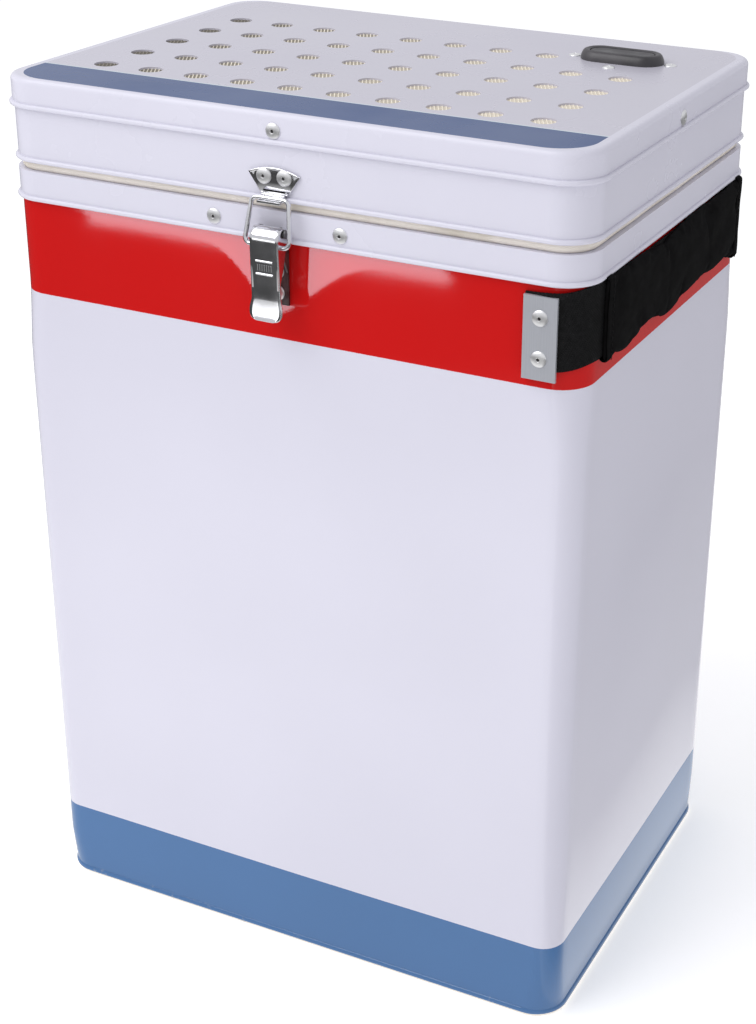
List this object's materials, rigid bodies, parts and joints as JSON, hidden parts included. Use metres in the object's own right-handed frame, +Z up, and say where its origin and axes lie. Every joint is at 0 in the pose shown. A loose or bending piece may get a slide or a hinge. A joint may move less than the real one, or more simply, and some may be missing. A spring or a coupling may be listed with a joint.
{
  "type": "battery safety box",
  "caption": "Upright double-walled painted steel box for storing lithium battery packs, with a hinged vented lid, draw latch, cable port and padded side strap.",
  "frame": {"origin": "middle of the base, on the plane the box stands on", "axes": "+X to the right along the front, +Y from front to back, +Z up"},
  "size_m": [0.3277, 0.2579, 0.486],
  "materials": {
    "shell_paint": "glossy",
    "cap_paint": "glossy",
    "ceramic_fibre": "matt fibrous",
    "woven_screen": "woven wire",
    "bare_sheet": "satin",
    "seal_cord": "matt",
    "rivet_metal": "satin bright",
    "bright_plate": "bright plated",
    "zinc_plate": "zinc plated",
    "black_webbing": "woven",
    "black_fabric": "woven, padded",
    "clamp_aluminium": "satin",
    "port_rubber": "matt"
  },
  "bodies": {
    "box": {"base_pan": "shell_paint", "outer_shell": "shell_paint", "wall_insulation": "ceramic_fibre", "base_insulation": "ceramic_fibre", "liner_floor": "bare_sheet", "liner_wall": "bare_sheet", "collar_frame": "shell_paint", "lid_seal": "seal_cord", "latch_backing_bar": "bare_sheet", "collar_rivets": "rivet_metal", "latch_base": "bright_plate", "latch_base_rivets": "rivet_metal", "lever_pin": "bright_plate", "hinge_body_leaves": "zinc_plate", "hinge_pins": "zinc_plate", "hinge_body_rivets": "rivet_metal", "strap_webbing": "black_webbing", "strap_sleeve": "black_fabric", "strap_clamp_front": "clamp_aluminium", "strap_clamp_rear": "clamp_aluminium", "strap_rivets": "rivet_metal"},
    "lid": {"lid_cap": "cap_paint", "lid_frame": "shell_paint", "vent_screen": "woven_screen", "filter_pad": "ceramic_fibre", "lid_inner_pan": "bare_sheet", "lid_rivets": "rivet_metal", "latch_keeper": "bright_plate", "keeper_rivets": "rivet_metal", "port_ring": "port_rubber", "port_backing_plate": "bare_sheet", "port_rivets": "rivet_metal", "hinge_lid_leaves": "zinc_plate", "hinge_lid_rivets": "rivet_metal"},
    "lever": {"latch_lever": "bright_plate"},
    "bail": {"latch_bail": "bright_plate"},
    "plug": {"port_plug": "port_rubber"}
  },
  "joints": [
    {"name": "lid_hinge", "type": "hinge", "parent": "box", "child": "lid", "pos_m": [0, 0.1236, 0.4355], "axis": [-1, 0, 0], "range_deg": [0, 105]},
    {"name": "latch_lever_turn", "type": "hinge", "parent": "box", "child": "lever", "pos_m": [0, -0.1243, 0.424], "axis": [-1, 0, 0], "range_deg": [0, 130]},
    {"name": "bail_turn", "type": "hinge", "parent": "lever", "child": "bail", "pos_m": [0, -0.128, 0.4181], "axis": [1, 0, 0], "range_deg": [0, 160]},
    {"name": "plug_lift", "type": "slide", "parent": "lid", "child": "plug", "axis": [0, 0, 1], "range_m": [0, 0.03]}
  ],
  "couplings": [
    {"joint": "bail_turn", "follows": "latch_lever_turn", "ratio": 1.2}
  ]
}
